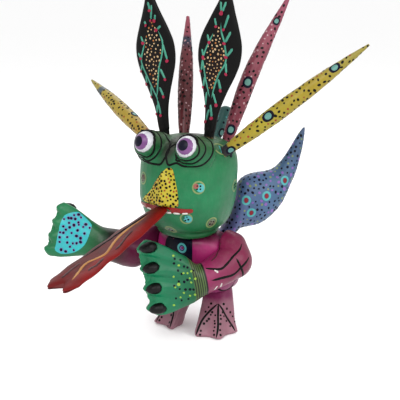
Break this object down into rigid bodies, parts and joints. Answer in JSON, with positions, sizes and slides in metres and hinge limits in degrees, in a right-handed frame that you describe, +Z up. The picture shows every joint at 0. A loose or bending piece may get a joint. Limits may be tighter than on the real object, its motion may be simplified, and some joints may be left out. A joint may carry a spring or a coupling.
{
  "type": "alebrije figure",
  "caption": "Hand-carved, hand-painted wooden fantasy creature that stands on webbed feet, with plug-in ears, spines, forked tongue and tail.",
  "frame": {"origin": "on the ground, under the middle of the whole figure's bounding box", "axes": "+Z up; the creature faces -Y; its left side is +X"},
  "size_m": [0.2859, 0.2837, 0.3157],
  "materials": {
    "torso": "hand-painted magenta acrylic on carved copal wood, with dark brush lines and a navy chest patch",
    "head": "hand-painted green acrylic on carved copal wood, with ringed dots, yellow dotted nose and red mouth",
    "eyes": "glossy painted eyeball, white with a violet iris and a navy pupil",
    "arms": "magenta arms that end in green hands, with fine cuff lines and dots",
    "claws": "glossy black paint",
    "legs": "mauve-pink legs with black lines and rows of dark dots",
    "tail": "blue-violet paint with turquoise rings, red centres, navy and cream dots",
    "tongue": "red paint shading to brown, with a golden wavy line",
    "ears": "black paint with teal branches, red tips and a dotted brown centre",
    "yellow_spines": "yellow paint with black and rust dots and teal circles",
    "pink_spines": "dusty pink paint with maroon and white dots and teal circles",
    "back_spine": "teal paint with dark dots and one dark ring",
    "pegs": "bare copal wood, glued in"
  },
  "bodies": {
    "figure": {"torso": "torso", "head": "head", "neck_dowel": "pegs", "eye_left": "eyes", "eye_right": "eyes", "arm_left": "arms", "arm_right": "arms", "arm_peg_left": "pegs", "arm_peg_right": "pegs", "claws_left": "claws", "claws_right": "claws", "leg_left": "legs", "leg_right": "legs", "leg_peg_left": "pegs", "leg_peg_right": "pegs"},
    "tail": {"tail": "tail"},
    "tongue": {"tongue": "tongue"},
    "ear_left": {"ear_left": "ears"},
    "ear_right": {"ear_right": "ears"},
    "yellow_spine_left": {"yellow_spine_left": "yellow_spines"},
    "yellow_spine_right": {"yellow_spine_right": "yellow_spines"},
    "pink_spine_left": {"pink_spine_left": "pink_spines"},
    "pink_spine_right": {"pink_spine_right": "pink_spines"},
    "back_spine": {"back_spine": "back_spine"}
  },
  "joints": [
    {"name": "tail_pull", "type": "slide", "parent": "figure", "child": "tail", "axis": [0.6157, 0.788, 0], "range_m": [0, 0.022]},
    {"name": "tongue_pull", "type": "slide", "parent": "figure", "child": "tongue", "axis": [0, -0.9781, -0.2079], "range_m": [0, 0.02]},
    {"name": "ear_left_pull", "type": "slide", "parent": "figure", "child": "ear_left", "axis": [0.1416, 0, 0.9899], "range_m": [0, 0.021]},
    {"name": "ear_right_pull", "type": "slide", "parent": "figure", "child": "ear_right", "axis": [-0.1191, 0, 0.9929], "range_m": [0, 0.021]},
    {"name": "yellow_spine_left_pull", "type": "slide", "parent": "figure", "child": "yellow_spine_left", "axis": [0.7129, 0.3363, 0.6154], "range_m": [0, 0.021]},
    {"name": "yellow_spine_right_pull", "type": "slide", "parent": "figure", "child": "yellow_spine_right", "axis": [-0.8573, 0.372, 0.3559], "range_m": [0, 0.021]},
    {"name": "pink_spine_left_pull", "type": "slide", "parent": "figure", "child": "pink_spine_left", "axis": [0.2139, 0.4045, 0.8892], "range_m": [0, 0.021]},
    {"name": "pink_spine_right_pull", "type": "slide", "parent": "figure", "child": "pink_spine_right", "axis": [-0.2614, 0.4652, 0.8457], "range_m": [0, 0.021]},
    {"name": "back_spine_pull", "type": "slide", "parent": "figure", "child": "back_spine", "axis": [0.0483, 0.6032, 0.7962], "range_m": [0, 0.021]}
  ]
}
